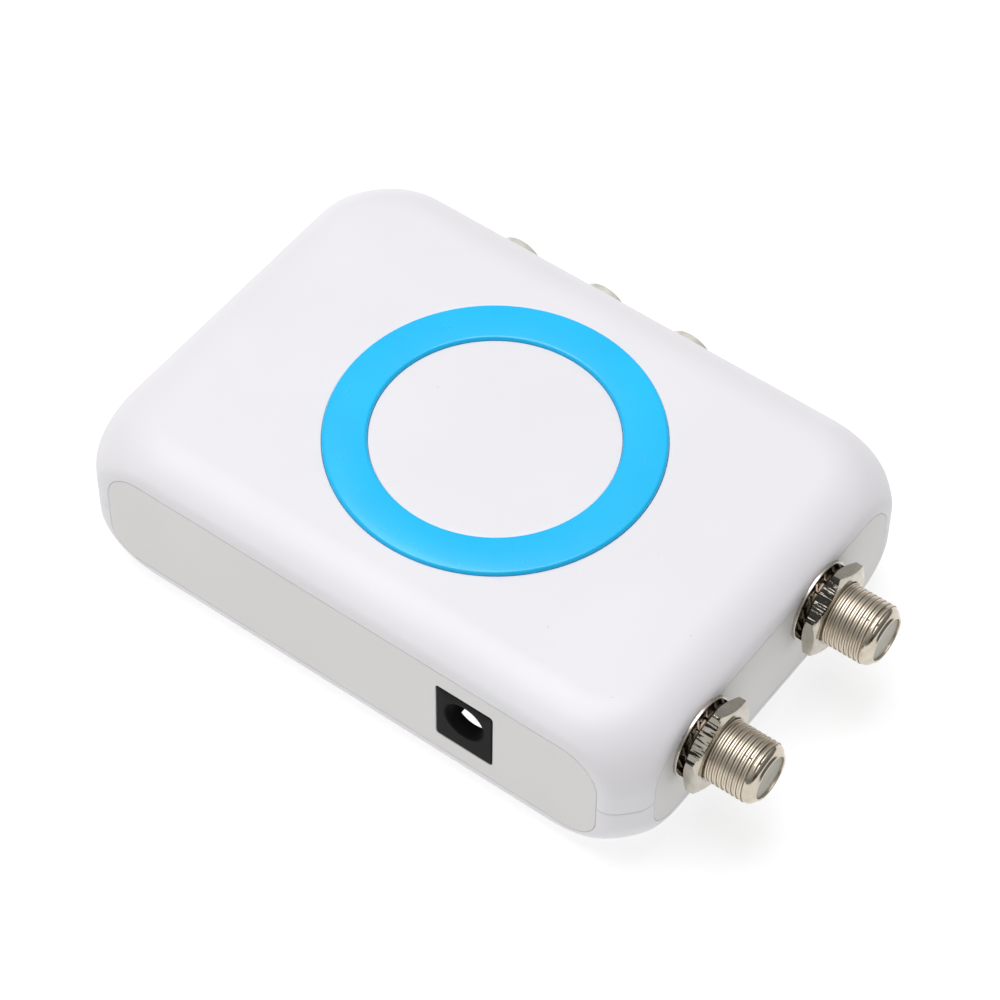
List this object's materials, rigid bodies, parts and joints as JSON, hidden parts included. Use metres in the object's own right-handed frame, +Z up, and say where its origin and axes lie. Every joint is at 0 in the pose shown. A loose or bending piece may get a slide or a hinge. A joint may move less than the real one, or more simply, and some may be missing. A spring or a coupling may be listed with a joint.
{
  "type": "rf modulator",
  "caption": "Small rounded box with screwed aerial sockets, phono sockets, a power socket and a channel switch; it puts picture and sound onto a television channel.",
  "frame": {"origin": "midway between the four rubber feet, on the surface they stand on; the middle of the case in plan", "axes": "+X along the case towards the end with the screwed aerial sockets, +Y from the front with the power socket towards the rear with the phono sockets, +Z up"},
  "size_m": [0.1086, 0.0736, 0.0273],
  "materials": {
    "case_white": "satin moulded plastic, very finely grained",
    "panel_grey": "satin moulded plastic, slightly warmer and darker than the shells",
    "ring_blue": "smooth glossy plastic",
    "foot_rubber": "matt",
    "screw_steel": "zinc-plated",
    "board_green": "solder resist over glass laminate",
    "nickel": "bright nickel plate",
    "washer_steel": "plated spring steel",
    "insulator_grey": "moulded plastic",
    "contact_brass": "tinned spring brass",
    "socket_black": "satin moulded plastic",
    "insulator_yellow": "moulded plastic",
    "insulator_white": "moulded plastic",
    "insulator_red": "moulded plastic",
    "tinplate": "tinned sheet",
    "chip_black": "moulding compound",
    "sleeve_blue": "shrunk plastic sleeve",
    "ferrite": "wound ferrite ring"
  },
  "bodies": {
    "case": {"upper_shell": "case_white", "lower_shell": "case_white", "front_panel": "panel_grey", "rear_panel": "panel_grey", "right_panel": "panel_grey", "left_panel": "panel_grey", "accent_ring": "ring_blue", "rubber_feet": "foot_rubber", "case_screws": "screw_steel", "board_screws": "screw_steel", "circuit_board": "board_green", "aerial_bodies": "nickel", "flat_washers": "nickel", "lock_washers": "washer_steel", "hex_nuts": "nickel", "aerial_insulators": "insulator_grey", "aerial_contacts": "contact_brass", "power_socket_body": "socket_black", "power_socket_pin": "nickel", "power_socket_spring": "contact_brass", "phono_block": "socket_black", "phono_sleeves": "nickel", "phono_insulator_yellow": "insulator_yellow", "phono_insulator_white": "insulator_white", "phono_insulator_red": "insulator_red", "phono_contacts": "contact_brass", "channel_switch_case": "tinplate", "screening_can": "tinplate", "screening_can_lid": "tinplate", "radio_chip": "chip_black", "tuning_coils": "tinplate", "crystal": "tinplate", "sound_chip": "chip_black", "capacitors": "sleeve_blue", "voltage_regulator": "chip_black", "choke": "ferrite"},
    "channel_slider": {"channel_switch_slider": "socket_black"}
  },
  "joints": [
    {"name": "channel_select", "type": "slide", "parent": "case", "child": "channel_slider", "axis": [1, 0, 0], "range_m": [0, 0.002]}
  ]
}
